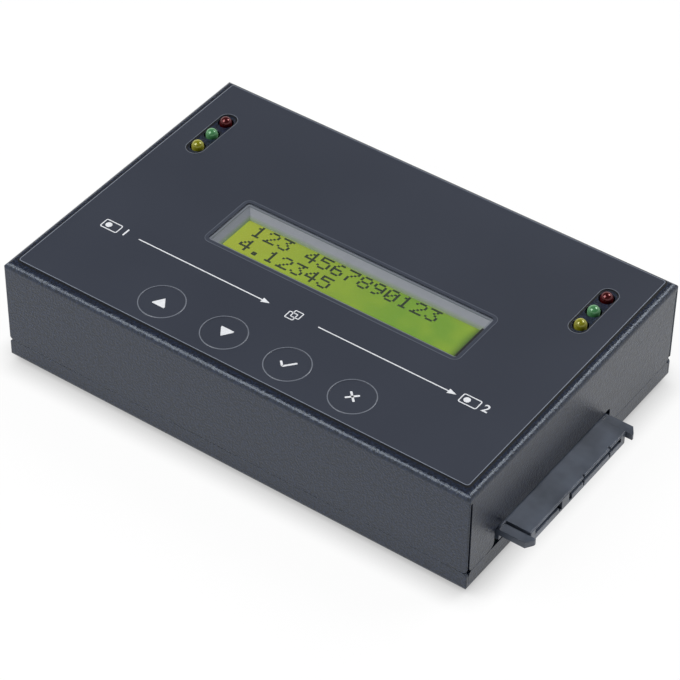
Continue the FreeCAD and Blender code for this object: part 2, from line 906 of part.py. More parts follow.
def lamp_leads_spots(slot):
    x, y = slot
    return [(x + side * lead_spacing, y + row * lamp_pitch)
            for side in (-0.5, 0.5) for row in (-1, 0, 1)]


def lamp_holder(slot):
    """Black moulding that stands on the board and carries the three lamps of one slot."""
    x, y = slot
    length = 2 * lamp_pitch + 2 * (lamp_flange_radius + lamp_bore_clearance + holder_end)
    body = rounded_block(x, y, holder_width, length, 1.0, board_top, cover_under - holder_top_gap)
    bore = lamp_flange_radius + lamp_bore_clearance
    cuts = [rod(x, y + row * lamp_pitch, bore, lamp_base, cover_under + 1) for row in (-1, 0, 1)]
    hole = lead_side + 2 * lead_clearance
    cuts += [block(lx, ly, hole, hole, board_top - 1, lamp_base + 0.01)
             for lx, ly in lamp_leads_spots(slot)]
    return body.cut(cuts)


def lamp_leads():
    return [block(x, y, lead_side, lead_side, board_top, lamp_base)
            for slot in lamp_slot_spots() for x, y in lamp_leads_spots(slot)]


# ---------------------------------------------------------------- rear wall
def dc_jack_housing():
    z = board_top + jack_axis_height
    body = box(jack_x - jack_width / 2, jack_x + jack_width / 2, jack_face - jack_length,
               jack_face, board_top, board_top + jack_height)
    upper = [e for e in body.Edges
             if all(abs(v.Z - board_top - jack_height) < 1e-6 for v in e.Vertexes)
             and abs(e.Vertexes[0].X - e.Vertexes[1].X) < 1e-6]
    body = body.makeFillet(2.5, upper)
    bore = rod_y(jack_x, z, jack_bore_radius, jack_face - jack_bore_depth, jack_face + 1)
    rear = box(jack_x - jack_spring_width / 2 - 0.1, jack_x + jack_spring_width / 2 + 0.1,
               jack_face - jack_length - 1, jack_face - 3, board_top - 1,
               z - jack_bore_radius + 0.6)
    return body.cut([bore, rear])


def dc_jack_pin():
    z = board_top + jack_axis_height
    low = jack_face - jack_bore_depth
    pin = rod_y(jack_x, z, jack_pin_radius, low, jack_face - jack_pin_setback)
    tip = [e for e in pin.Edges if all(abs(v.Y - jack_face + jack_pin_setback) < 1e-6
                                       for v in e.Vertexes) and e.Length > 1]
    return pin.makeChamfer(jack_pin_radius * 0.45, tip[:1])


def dc_jack_spring():
    """The sleeve contact: a leaf under the bore with its leg on the board."""
    z = board_top + jack_axis_height - jack_bore_radius
    t = jack_spring_thickness
    low = jack_face - jack_length + 1.2
    x0 = jack_x - jack_spring_width / 2
    points = [V(x0, low, board_top), V(x0, low + t, board_top), V(x0, low + t, z - t),
              V(x0, jack_face - 3.5, z + t / 2), V(x0, jack_face - 3.5, z + 1.2 * t),
              V(x0, low, z)]
    return prism(points, V(jack_spring_width, 0, 0))


def rocker_pivot():
    return V(switch_x, half_width + switch_flange_thickness - rocker_pivot_depth, switch_z)


def cavity_half():
    return (switch_body_width / 2 - switch_wall, switch_body_height / 2 - switch_wall)


def power_switch_housing():
    half_x, half_z = cavity_half()
    y_back = half_width - sheet - switch_body_depth
    body = box(switch_x - switch_body_width / 2, switch_x + switch_body_width / 2, y_back,
               half_width + switch_flange_thickness / 2,
               switch_z - switch_body_height / 2, switch_z + switch_body_height / 2)
    flange = box(switch_x - switch_flange_width / 2, switch_x + switch_flange_width / 2,
                 half_width, half_width + switch_flange_thickness,
                 switch_z - switch_flange_height / 2, switch_z + switch_flange_height / 2)
    outer = half_width + switch_flange_thickness
    rim = [e for e in flange.Edges if all(abs(v.Y - outer) < 1e-6 for v in e.Vertexes)]
    flange = flange.makeChamfer(0.5, rim)
    housing = fused([body, flange])
    floor = rocker_pivot().y - rocker_radius - rocker_leg_length
    cavity = box(switch_x - half_x, switch_x + half_x, floor, outer + 1,
                 switch_z - half_z, switch_z + half_z)
    pivot = rocker_pivot()
    reach = half_z + trunnion_length + screw_clearance
    sockets = rod(pivot.x, pivot.y, trunnion_radius + trunnion_clearance,
                  switch_z - reach, switch_z + reach)
    return housing.cut([cavity, sockets])


def power_rocker():
    """Bistable rocker at rest in its off position, with trunnions in the housing's walls."""
    pivot = rocker_pivot()
    half_z = cavity_half()[1] - rocker_side_gap
    r = rocker_radius
    top = math.radians(rocker_top_angle)
    skirt = math.radians(-rocker_skirt_angle)
    leg = rocker_leg_width / 2

    def at(u, v):
        return V(pivot.x + u, pivot.y + v, switch_z - half_z)

    def on_arc(angle, side):
        return at(side * r * math.cos(angle), r * math.sin(angle))

    skirt_v = r * math.sin(skirt)
    right = Part.Arc(on_arc(skirt, 1), at(r, 0), on_arc(top, 1)).toShape()
    left = Part.Arc(on_arc(top, -1), at(-r, 0), on_arc(skirt, -1)).toShape()
    crown = Part.Arc(on_arc(top, 1), at(0, rocker_dip), on_arc(top, -1)).toShape()
    foot = Part.makePolygon([on_arc(skirt, -1), at(-leg, skirt_v),
                             at(-leg, skirt_v - rocker_leg_length),
                             at(leg, skirt_v - rocker_leg_length), at(leg, skirt_v),
                             on_arc(skirt, 1)])
    outline = Part.Wire([right, crown, left] + foot.Edges)
    body = Part.Face(outline).extrude(V(0, 0, 2 * half_z))
    reach = cavity_half()[1] + trunnion_length
    trunnions = rod(pivot.x, pivot.y, trunnion_radius, switch_z - reach, switch_z + reach)
    rocker = fused([body, trunnions])
    rocker.rotate(pivot, V(0, 0, 1), -rocker_tilt)
    return rocker


def terminal_spots():
    return [switch_x + side * terminal_spacing / 2 for side in (-1, 1)]


def switch_back():
    return half_width - sheet - switch_body_depth


def switch_terminals():
    return [box(x - terminal_thickness / 2, x + terminal_thickness / 2,
                switch_back() - terminal_length, switch_back(),
                switch_z - terminal_width / 2, switch_z + terminal_width / 2)
            for x in terminal_spots()]


def plug_y():
    return switch_back() - terminal_length - lead_run - lead_bend


def switch_leads():
    """Two insulated wires from the blades down to the plug on the board."""
    wires = []
    for x in terminal_spots():
        start = V(x, switch_back() - terminal_length, switch_z)
        turn = start + V(0, -lead_run, 0)
        down = V(x, plug_y(), switch_z - lead_bend)
        end = V(x, plug_y(), board_top + plug_height)
        s = lead_bend * (1 - math.sqrt(0.5))
        middle = V(x, plug_y() + s, switch_z - s)
        path = Part.Wire([Part.makeLine(start, turn), Part.Arc(turn, middle, down).toShape(),
                          Part.makeLine(down, end)])
        ring = Part.Wire(Part.makeCircle(lead_radius, start, V(0, 1, 0)))
        wires.append(path.makePipeShell([ring], True, False))
    return wires


def switch_plug():
    return rounded_block(switch_x, plug_y(), plug_width, plug_depth, 0.4, board_top,
                         board_top + plug_height)


# ---------------------------------------------------------------- small parts on the board
def gull_pins(cx, cy, lx, ly, count, pitch, all_sides):
    """Rows of flat chip pins outside a body of lx by ly."""
    low = board_top
    high = board_top + chip_pin_thickness
    start = -(count - 1) * pitch / 2
    pins = []
    for i in range(count):
        along = start + i * pitch
        for side in (-1, 1):
            out = side * (ly / 2 + chip_pin_reach / 2)
            pins.append(block(cx + along, cy + out, chip_pin_width, chip_pin_reach, low, high))
            if all_sides:
                out = side * (lx / 2 + chip_pin_reach / 2)
                pins.append(block(cx + out, cy + along, chip_pin_reach, chip_pin_width,
                                  low, high))
    return pins


def chip_pins():
    side = controller_side
    pins = gull_pins(*controller_at, side, side, controller_pins_per_side,
                     controller_pin_pitch, True)
    return pins + gull_pins(*memory_at, memory_size[0], memory_size[1], memory_pins_per_side,
                            memory_pin_pitch, False)


def chip_body(at, lx, ly, height):
    low = board_top
    body = block(at[0], at[1], lx, ly, low, low + chip_standoff + height)
    return body.makeChamfer(0.2, horizontal_edges(body, low + chip_standoff + height))


def clock_crystals():
    lx, ly, height = crystal_size
    return [rounded_block(x, y, lx, ly, ly / 2 - 0.01, board_top, board_top + height)
            for x, y in crystal_spots]


def filter_capacitors():
    cans = []
    side = 2 * capacitor_radius + 0.3
    for x, y in capacitor_spots:
        base = block(x, y, side, side, board_top, board_top + capacitor_base)
        can = rod(x, y, capacitor_radius, board_top, board_top + capacitor_height)
        can = can.makeChamfer(0.4, horizontal_edges(can, board_top + capacitor_height))
        cans.append(fused([base, can]))
    return cans


def power_inductors():
    coils = []
    for x, y in inductor_spots:
        coil = rounded_block(x, y, inductor_side, inductor_side, inductor_corner, board_top,
                             board_top + inductor_height)
        coils.append(coil)
    return coils


def voltage_regulators():
    lx, ly, height = regulator_size
    tab_x, tab_y, tab_z = regulator_tab
    return [fused([block(x, y, lx, ly, board_top, board_top + height),
                   block(x, y + (ly + tab_y) / 2, tab_x, tab_y, board_top, board_top + tab_z)])
            for x, y in regulator_spots]


def buzzer():
    x, y = buzzer_at
    top = board_top + buzzer_height
    return rod(x, y, buzzer_radius, board_top, top).cut(rod(x, y, buzzer_hole_radius, top - 2, top + 1))


def chip_resistors():
    lx, ly, height = resistor_size
    start = -(resistors_per_row - 1) * resistor_pitch / 2
    return [block(x + start + i * resistor_pitch, y, ly, lx, board_top, board_top + height)
            for x, y in resistor_rows for i in range(resistors_per_row)]


# ---------------------------------------------------------------- write every node
os.makedirs("parts", exist_ok=True)

save("base_tray", base_tray())
save("top_cover", top_cover())
save("rubber_feet", rubber_feet())
save("cover_pillars", cover_pillars())
save("case_screws", case_screws())
save("graphic_overlay", graphic_overlay())
save("display_window", display_window())

for name, (key_x, key_y) in zip(key_names, key_spots()):
    save("key_" + name, key_cap(key_x, key_y))
    save("switch_plunger_" + name, switch_plunger(key_x, key_y))
save("key_switches", key_switches())
save("key_board", key_board())

all_stud_spots = display_screw_spots() + between_keys()
save("panel_studs", panel_studs(all_stud_spots))
save("stud_screws", stud_screws(all_stud_spots))

save("lcd_board", lcd_board())
save("lcd_bezel", lcd_bezel())
save("lcd_glass", lcd_glass())
save("lcd_zebra_strips", lcd_zebra_strips())
save("lcd_backlight", lcd_backlight())
save("lcd_driver_blobs", lcd_driver_blobs())

save("strip_headers", strip_headers())
save("strip_sockets", strip_sockets())
save("strip_pins", strip_pins())

save("main_board", main_board())
save("board_standoffs", board_standoffs())
save("board_screws", board_screws())

target = receptacle()
save("target_receptacle", target)
save("source_receptacle", end_to_end(target))
target_strips = contacts()
save("target_contacts", target_strips)
save("source_contacts", [end_to_end(strip) for strip in target_strips])

for row, colour in enumerate(("yellow", "green", "red")):
    save(colour + "_lamps", [lamp(x, y) for x, y in lamp_spots(row)])
source_slot, target_slot = lamp_slot_spots()
save("source_lamp_holder", lamp_holder(source_slot))
save("target_lamp_holder", lamp_holder(target_slot))
save("lamp_leads", lamp_leads())

save("dc_jack_housing", dc_jack_housing())
save("dc_jack_pin", dc_jack_pin())
save("dc_jack_spring", dc_jack_spring())
save("power_switch_housing", power_switch_housing())
save("power_rocker", power_rocker())
save("switch_terminals", switch_terminals())
save("switch_leads", switch_leads())
save("switch_plug", switch_plug())

save("copy_controller", chip_body(controller_at, controller_side, controller_side,
                                  controller_height))
save("firmware_memory", chip_body(memory_at, *memory_size))
save("chip_pins", chip_pins())
save("clock_crystals", clock_crystals())
save("filter_capacitors", filter_capacitors())
save("power_inductors", power_inductors())
save("voltage_regulators", voltage_regulators())
save("buzzer", buzzer())
save("chip_resistors", chip_resistors())
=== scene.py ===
"""Looks of a stand-alone drive duplicator around its packed construction model.

Everything is in metres, with X along the case, Y towards the rear wall and Z up.
"""
import json
import math

import bpy
from mathutils import Matrix, Vector


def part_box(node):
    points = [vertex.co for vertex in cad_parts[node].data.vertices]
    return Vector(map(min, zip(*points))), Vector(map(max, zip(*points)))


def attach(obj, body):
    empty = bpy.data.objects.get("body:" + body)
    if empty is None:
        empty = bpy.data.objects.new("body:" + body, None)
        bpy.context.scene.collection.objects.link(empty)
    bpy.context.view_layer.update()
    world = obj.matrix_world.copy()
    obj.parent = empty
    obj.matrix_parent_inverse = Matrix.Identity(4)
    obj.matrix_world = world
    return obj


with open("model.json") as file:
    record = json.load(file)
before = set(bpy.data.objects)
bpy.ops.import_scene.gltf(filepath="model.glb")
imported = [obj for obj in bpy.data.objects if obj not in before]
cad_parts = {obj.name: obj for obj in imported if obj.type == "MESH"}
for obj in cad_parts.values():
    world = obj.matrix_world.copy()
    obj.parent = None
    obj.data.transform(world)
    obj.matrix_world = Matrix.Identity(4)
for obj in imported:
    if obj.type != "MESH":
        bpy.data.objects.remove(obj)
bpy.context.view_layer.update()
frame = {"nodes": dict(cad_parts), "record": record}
nodes = frame["nodes"]
scene = bpy.context.scene
scene.view_settings.view_transform = "Standard"


# ---------------------------------------------------------------- camera
# A long lens a good half metre away looks down on the front panel from the front right.
# The key side and the target end face it.
camera_azimuth = math.radians(35.021)
camera_elevation = math.radians(42.374)
camera_roll = math.radians(0.812)
camera_distance = 0.6494
camera_aim = Vector((0.003371, -0.004666, 0.013856))
away = Vector((math.sin(camera_azimuth) * math.cos(camera_elevation),
               -math.cos(camera_azimuth) * math.cos(camera_elevation),
               math.sin(camera_elevation)))
camera_data = bpy.data.cameras.new("camera")
camera_data.sensor_width = 36
camera_data.lens = 158.03
camera_data.clip_start = 0.01
camera = bpy.data.objects.new("camera", camera_data)
turn = (Matrix.Rotation(camera_azimuth, 4, "Z")
        @ Matrix.Rotation(math.pi / 2 - camera_elevation, 4, "X")
        @ Matrix.Rotation(camera_roll, 4, "Z"))
camera.matrix_world = Matrix.Translation(camera_aim + away * camera_distance) @ turn
scene.collection.objects.link(camera)
scene.camera = camera


# ---------------------------------------------------------------- studio
# A white sweep with a raised edge, under one large softbox high at the front left and one high
# at the rear right. The sweep is white to the eye and in reflections, and keeps a share of the
# lamps' shadows. A contact shadow is painted on it: its glow dims where the case is close to
# it.
MM = 0.001
softbox_distance = 0.9
air_strength = 0.18
sweep_radius = 3
sweep_edge_height = 1.3
painted_shadow_reach = 6.5 * MM
painted_shadow_darkest = 0.5
plain_white_share = 0.92


def softbox(name, direction, size, power):
    """A square lamp that faces the case from one direction."""
    lamp_data = bpy.data.lights.new(name, "AREA")
    lamp_data.shape = "SQUARE"
    lamp_data.size = size
    lamp_data.energy = power
    lamp = bpy.data.objects.new(name, lamp_data)
    lamp.location = Vector(direction).normalized() * softbox_distance
    lamp.rotation_euler = Vector(direction).to_track_quat("Z", "Y").to_euler()
    scene.collection.objects.link(lamp)


class Finish:
    """A material with helpers that add and join nodes around its Principled shader."""

    def __init__(self, name, colour, roughness, metallic=0.0):
        self.material = bpy.data.materials.new(name)
        self.material.use_nodes = True
        self.tree = self.material.node_tree
        self.shader = self.tree.nodes["Principled BSDF"]
        self.set("Base Color", colour)
        self.set("Roughness", roughness)
        self.set("Metallic", metallic)
        self.place = self.add("ShaderNodeTexCoord").outputs["Object"]

    def set(self, socket, value):
        self.shader.inputs[socket].default_value = value

    def add(self, kind, **inputs):
        node = self.tree.nodes.new(kind)
        for socket, value in inputs.items():
            node.inputs[socket.replace("_", " ")].default_value = value
        return node

    def join(self, source, target):
        self.tree.links.new(source, target)

    def noise(self, scale, detail=2.0):
        texture = self.add("ShaderNodeTexNoise", Scale=scale, Detail=detail)
        self.join(self.place, texture.inputs["Vector"])
        return texture.outputs["Fac"]

    def axes(self):
        """X, Y and Z of the place on the object, as sockets by name."""
        split = self.add("ShaderNodeSeparateXYZ")
        self.join(self.place, split.inputs["Vector"])
        return split.outputs

    def ranged(self, value, **limits):
        """A value carried from one range to another, and held at its ends."""
        span = self.add("ShaderNodeMapRange", **limits)
        self.join(value, span.inputs["Value"])
        return span.outputs["Result"]

    def combined(self, operation, first, second):
        """A Math node on two sockets."""
        step = self.add("ShaderNodeMath")
        step.operation = operation
        self.join(first, step.inputs[0])
        self.join(second, step.inputs[1])
        return step.outputs["Value"]

    def ramp(self, fac, dark, light, low=0.3, high=0.7):
        """Colour that runs from dark to light as fac rises from low to high."""
        colours = self.add("ShaderNodeValToRGB")
        first, last = colours.color_ramp.elements
        first.position, first.color = low, dark
        last.position, last.color = high, light
        self.join(fac, colours.inputs["Fac"])
        return colours.outputs["Color"]

    def mixed(self, fac, under, over):
        """The socket under, with the plain colour over laid on it by fac."""
        mix = self.add("ShaderNodeMix")
        mix.data_type = "RGBA"
        mix.inputs["B"].default_value = over
        self.join(fac, mix.inputs["Factor"])
        self.join(under, mix.inputs["A"])
        return mix.outputs["Result"]

    def colour(self, source):
        self.join(source, self.shader.inputs["Base Color"])

    def glow(self, source, strength):
        self.join(source, self.shader.inputs["Emission Color"])
        self.set("Emission Strength", strength)

    def gloss(self, fac, smooth, rough):
        spread = self.ranged(fac, To_Min=smooth, To_Max=rough)
        self.join(spread, self.shader.inputs["Roughness"])

    def bump(self, fac, depth, strength=1.0, eased=0.0):
        """Relief that follows fac; eased is the radius that sharp edges are shaded with."""
        relief = self.add("ShaderNodeBump", Distance=depth, Strength=strength)
        self.join(fac, relief.inputs["Height"])
        self.join(relief.outputs["Normal"], self.shader.inputs["Normal"])
        if eased:
            round_edge = self.add("ShaderNodeBevel", Radius=eased)
            round_edge.samples = 6
            self.join(round_edge.outputs["Normal"], relief.inputs["Normal"])


softbox("front_left_softbox", (-0.38, -0.50, 0.78), 0.56, 6.8)
softbox("rear_right_softbox", (0.34, 0.60, 0.72), 0.42, 4.8)

world = bpy.data.worlds.new("studio_air")
scene.world = world
world.use_nodes = True
air = world.node_tree.nodes["Background"]
air.inputs["Color"].default_value = (1, 1, 1, 1)
air.inputs["Strength"].default_value = air_strength

bpy.ops.object.select_all(action="DESELECT")
bpy.ops.mesh.primitive_circle_add(vertices=96, radius=sweep_radius, fill_type="NGON",
                                  location=(0, 0, 0))
sweep = bpy.context.object
sweep.name = "sweep"
bpy.ops.object.mode_set(mode="EDIT")
bpy.ops.mesh.select_all(action="SELECT")
bpy.ops.mesh.region_to_loop()
bpy.ops.mesh.extrude_region_move(TRANSFORM_OT_translate={"value": (0, 0, sweep_edge_height)})
bpy.ops.object.mode_set(mode="OBJECT")

sweep_white = Finish("sweep_white", (0.94, 0.94, 0.94, 1), 0.9)
sweep_white.set("Specular IOR Level", 0.1)
# Painted contact shadow: ambient occlusion dims the sweep's white glow near the case.
nearby = sweep_white.add("ShaderNodeAmbientOcclusion", Distance=painted_shadow_reach)
nearby.samples = 16
plain_white = sweep_white.add("ShaderNodeEmission")
painted_contact_shadow = sweep_white.ranged(nearby.outputs["AO"], From_Min=0.25, From_Max=0.98,
                             To_Min=painted_shadow_darkest)
sweep_white.join(painted_contact_shadow, plain_white.inputs["Strength"])
path = sweep_white.add("ShaderNodeLightPath").outputs
seen = sweep_white.combined("ADD", path["Is Camera Ray"], path["Is Glossy Ray"])
seen = sweep_white.combined("ADD", seen, path["Is Transmission Ray"])
blend = sweep_white.add("ShaderNodeMixShader")
sweep_white.join(sweep_white.ranged(seen, To_Max=plain_white_share), blend.inputs[0])
sweep_white.join(sweep_white.shader.outputs["BSDF"], blend.inputs[1])
sweep_white.join(plain_white.outputs["Emission"], blend.inputs[2])
sweep_white.join(blend.outputs["Shader"],
                 sweep_white.tree.nodes["Material Output"].inputs["Surface"])
sweep.data.materials.append(sweep_white.material)


# ---------------------------------------------------------------- folded case
# Two shells of thin steel sheet, punched, folded and powder coated slate grey.
# The coat has a fine even grain; the tray's walls meet the cover's at an open seam.
coat_grain_depth = 0.12 * MM
coat_edge_radius = 0.2 * MM


def linear(red, green, blue):
    """A colour given in the usual 0 to 255 screen values."""
    def one(value):
        value = value / 255
        return value / 12.92 if value <= 0.04045 else ((value + 0.055) / 1.055) ** 2.4
    return (one(red), one(green), one(blue), 1)


def coat_nodes(finish, *names):
    """Give CAD nodes one finish in every slot."""
    for name in names:
        mesh = nodes[name].data
        if not mesh.materials:
            mesh.materials.append(finish.material)
        for index in range(len(mesh.materials)):
            mesh.materials[index] = finish.material


powder = Finish("powder_coat", linear(34, 39, 50), 0.38)
grain = powder.noise(2100, 3.0)
powder.colour(powder.ramp(grain, linear(2, 5, 17), linear(24, 33, 54), 0.38, 0.62))
powder.gloss(powder.noise(900), 0.26, 0.36)
powder.bump(grain, coat_grain_depth, 1.0, coat_edge_radius)
powder.set("Specular Tint", (0.8, 0.89, 1.0, 1))
powder.set("Specular IOR Level", 0.6)
coat_nodes(powder, "top_cover", "base_tray")


# ---------------------------------------------------------------- front panel film
# Matt polycarbonate film, printed from behind and glued to the cover, with a legend in white.
# Two thin arrows run from the source drive's sign past the copy sign to the target drive's.
# Its cut edge is a fine pale line of painted highlight, with a dark line of painted shadow
# outside it.
panel_low, panel_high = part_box("graphic_overlay")
panel_level = panel_high.z
panel_middle = (panel_low + panel_high) / 2
panel_width = panel_high.x - panel_low.x
panel_depth = panel_high.y - panel_low.y
film_corner = 0.7 * MM
painted_highlight_width = 0.17 * MM
painted_shadow_width = 0.45 * MM
ink_height = 0.03 * MM

legend_x = 0.15 * MM
legend_y = -17.15 * MM
arrow_line = 0.28 * MM
arrow_head_length = 2.0 * MM
arrow_head_width = 1.5 * MM
drive_sign_width = 4.6 * MM
drive_sign_depth = 2.9 * MM
drive_sign_line = 0.26 * MM
drive_sign_corner = 0.5 * MM
disc_radius = 0.78 * MM
disc_band = 0.5 * MM
disc_from_middle = 0.75 * MM
figure_size = 3.2 * MM
figure_boldness = 0.012
figure_from_middle = 3.9 * MM
copy_sheet_side = 2.3 * MM
copy_sheet_line = 0.24 * MM
copy_sheet_corner = 0.3 * MM
copy_sheet_shift = 0.45 * MM

film = Finish("panel_film", linear(43, 48, 60), 0.4)
film.colour(film.ramp(film.noise(30, 1.0), linear(41, 46, 58), linear(45, 50, 62)))
film.bump(film.noise(5200), 0.02 * MM, 0.25)
coat_nodes(film, "graphic_overlay")

ink = Finish("white_ink", linear(214, 216, 220), 0.45)
ink.colour(ink.ramp(ink.noise(1500), linear(206, 208, 212), linear(222, 224, 228)))
# Painted highlight: the film's cut edge is drawn as a pale line.
painted_edge_highlight = Finish("painted_edge_highlight", linear(122, 128, 140), 0.3)
painted_edge_highlight.bump(painted_edge_highlight.noise(3000), 0.01 * MM, 0.3)
# Painted shadow: a near-black line for the shade beside the film's edge, at the window's end
# and inside the slots.
painted_shadow_line = Finish("painted_shadow_line", linear(10, 12, 16), 0.5)
painted_shadow_line.bump(painted_shadow_line.noise(3000), 0.02 * MM, 0.3)


def start_plane(name, x0, x1, y0, y1, z):
    """A flat rectangle, left selected in edit mode."""
    bpy.ops.object.select_all(action="DESELECT")
    bpy.ops.mesh.primitive_plane_add(size=1, location=((x0 + x1) / 2, (y0 + y1) / 2, z))
    patch = bpy.context.object
    patch.name = name
    patch.scale = (x1 - x0, y1 - y0, 1)
    bpy.ops.object.transform_apply(location=True, rotation=False, scale=True)
    bpy.ops.object.mode_set(mode="EDIT")
    bpy.ops.mesh.select_all(action="SELECT")
    return patch


def give_height(height):
    """Extrude all of the flat mesh being edited upwards and leave edit mode."""
    bpy.ops.mesh.select_all(action="SELECT")
    bpy.ops.mesh.extrude_region_move(TRANSFORM_OT_translate={"value": (0, 0, height)})
    bpy.ops.mesh.select_all(action="SELECT")
    bpy.ops.mesh.normals_make_consistent(inside=False)
    bpy.ops.object.mode_set(mode="OBJECT")


def place_in_mesh():
    """Move the active piece's place, turn and scale into its mesh."""
    bpy.ops.object.transform_apply(location=True, rotation=True, scale=True)


def finish_piece(piece, finish, body):
    """Coat a piece, and tie it to its body and material slot."""
    piece.data.materials.clear()
    piece.data.materials.append(finish.material)
    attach(piece, body)


def choose_edges(piece, wanted):
    """In edit mode, select the edges whose middle passes the test."""
    bpy.ops.mesh.select_all(action="DESELECT")
    bpy.ops.object.mode_set(mode="OBJECT")
    points = piece.data.vertices
    for edge in piece.data.edges:
        first, last = (points[i].co for i in edge.vertices)
        edge.select = wanted((first + last) / 2)
    bpy.ops.object.mode_set(mode="EDIT")
    bpy.ops.mesh.select_mode(type="EDGE")


def printed_arrow(name, x0, x1):
    """A thin line along the legend that ends in a solid arrowhead at x1."""
    shaft_end = x1 - arrow_head_length
    arrow = start_plane(name, x0, shaft_end, legend_y - arrow_line / 2,
                        legend_y + arrow_line / 2, panel_level)
    choose_edges(arrow, lambda middle: middle.x > shaft_end - 0.01 * MM)
    bpy.ops.mesh.extrude_region_move(TRANSFORM_OT_translate={"value": (0, 0, 0)})
    bpy.ops.transform.resize(value=(1, arrow_head_width / arrow_line, 1))
    bpy.ops.mesh.extrude_region_move(
        TRANSFORM_OT_translate={"value": (arrow_head_length, 0, 0)})
    bpy.ops.mesh.merge(type="CENTER")
    give_height(ink_height)
    finish_piece(arrow, ink, "chassis")


def printed_figure(name, figure, x, y):
    """A plain figure in ink, centred on (x, y)."""
    bpy.ops.object.select_all(action="DESELECT")
    bpy.ops.object.text_add(location=(0, 0, 0))
    text = bpy.context.object
    text.data.body = figure
    text.data.align_x = "CENTER"
    text.data.align_y = "CENTER"
    text.data.size = figure_size
    text.data.offset = figure_size * figure_boldness
    text.data.extrude = ink_height / 2
    bpy.ops.object.convert(target="MESH")
    number = bpy.context.object
    number.name = name
    number.location = (x, y, panel_level + ink_height / 2)
    place_in_mesh()
    finish_piece(number, ink, "chassis")


def printed_frame(name, x, y, width, depth, line, corner, finish=ink, level=panel_level,
                  segments=5):
    """An outlined rectangle with rounded corners; line is how wide the outline is."""
    outline = start_plane(name, x - width / 2, x + width / 2, y - depth / 2, y + depth / 2,
                          level)
    bpy.ops.mesh.bevel(offset=corner, affect="VERTICES", segments=segments)
    bpy.ops.mesh.select_all(action="SELECT")
    bpy.ops.mesh.inset(thickness=line)
    bpy.ops.mesh.delete(type="FACE")
    give_height(ink_height)
    finish_piece(outline, finish, "chassis")


def drive_sign(name, x, y, figure):
    """A drive seen from above: an outline, its disc, and a figure beside it."""
    printed_frame(name + "_outline", x, y, drive_sign_width, drive_sign_depth,
                  drive_sign_line, drive_sign_corner)
    bpy.ops.object.select_all(action="DESELECT")
    bpy.ops.mesh.primitive_cylinder_add(
        vertices=24, radius=disc_radius, depth=ink_height,
        location=(x - disc_from_middle, y, panel_level + ink_height / 2))
    disc = bpy.context.object
    disc.name = name + "_disc"
    place_in_mesh()
    bpy.ops.object.mode_set(mode="EDIT")
    bpy.ops.mesh.select_all(action="DESELECT")
    bpy.ops.object.mode_set(mode="OBJECT")
    for face in disc.data.polygons:
        face.select = face.normal.z > 0.9
    bpy.ops.object.mode_set(mode="EDIT")
    bpy.ops.mesh.inset(thickness=disc_band)
    bpy.ops.mesh.extrude_region_move(
        TRANSFORM_OT_translate={"value": (0, 0, -0.8 * ink_height)})
    bpy.ops.object.mode_set(mode="OBJECT")
    finish_piece(disc, ink, "chassis")
    printed_figure(name + "_figure", figure, x + figure_from_middle, y)


printed_arrow("arrow_to_copy_sign", legend_x - 42.0 * MM, legend_x - 6.45 * MM)
printed_arrow("arrow_to_target_sign", legend_x + 6.3 * MM, legend_x + 41.5 * MM)
printed_frame("painted_edge_highlight", panel_middle.x, panel_middle.y, panel_width, panel_depth,
              painted_highlight_width, film_corner, painted_edge_highlight)
printed_frame("painted_shadow_line", panel_middle.x, panel_middle.y, panel_width + 2 * painted_shadow_width,
              panel_depth + 2 * painted_shadow_width, painted_shadow_width, film_corner + painted_shadow_width, painted_shadow_line,
              panel_low.z)
drive_sign("source_sign", legend_x - 49.6 * MM, legend_y, "1")
drive_sign("target_sign", legend_x + 44.9 * MM, legend_y, "2")
for sheet_name, shift in (("rear", copy_sheet_shift), ("front", -copy_sheet_shift)):
    printed_frame("copy_sign_" + sheet_name, legend_x + shift, legend_y + shift,
                  copy_sheet_side, copy_sheet_side, copy_sheet_line, copy_sheet_corner)


# ---------------------------------------------------------------- keys
# Round patches of the same film over tact switches, each ringed by a fine embossed line,
# coloured pale as its painted highlight.
# Their white signs point up and down, accept and cancel.
ring_outside_key = 0.05 * MM
ring_line_radius = 0.16 * MM
ring_flatness = 0.55
triangle_half_width = 1.6 * MM
triangle_height = 2.5 * MM
triangle_foot = 0.2 * MM
stroke_width = 0.5 * MM
cross_length = 3.2 * MM
tick_long = 3.3 * MM
tick_short = 1.7 * MM

coat_nodes(film, "key_up", "key_down", "key_ok", "key_esc")
# Painted highlight: a pale colour for fine raised edges that catch the light.
pale_ridge_highlight = Finish("embossed_ring_painted_highlight", linear(104, 109, 119), 0.3)
pale_ridge_highlight.bump(pale_ridge_highlight.noise(4000), 0.01 * MM, 0.3)
black_moulding = Finish("black_moulding", linear(46, 48, 54), 0.45)
black_moulding.bump(black_moulding.noise(2400), 0.03 * MM, 0.35, 0.1 * MM)
coat_nodes(black_moulding, "key_switches")
rocker_black = Finish("rocker_black", linear(30, 31, 34), 0.28)
rocker_black.bump(rocker_black.noise(1800), 0.02 * MM, 0.2)
coat_nodes(rocker_black, "switch_plunger_up", "switch_plunger_down", "switch_plunger_ok",
           "switch_plunger_esc")

key_middles = {}
for key_name in ("up", "down", "ok", "esc"):
    key_low, key_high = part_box("key_" + key_name)
    middle = (key_low + key_high) / 2
    key_middles[key_name] = middle
    bpy.ops.object.select_all(action="DESELECT")
    bpy.ops.mesh.primitive_torus_add(
        major_radius=(key_high.x - key_low.x) / 2 + ring_outside_key,
        minor_radius=ring_line_radius, major_segments=72, minor_segments=10,
        location=(middle.x, middle.y, panel_level))
    ring = bpy.context.object
    ring.name = "ring_" + key_name
    ring.scale = (1, 1, ring_flatness)
    place_in_mesh()
    bpy.ops.object.shade_smooth()
    finish_piece(ring, pale_ridge_highlight, "chassis")


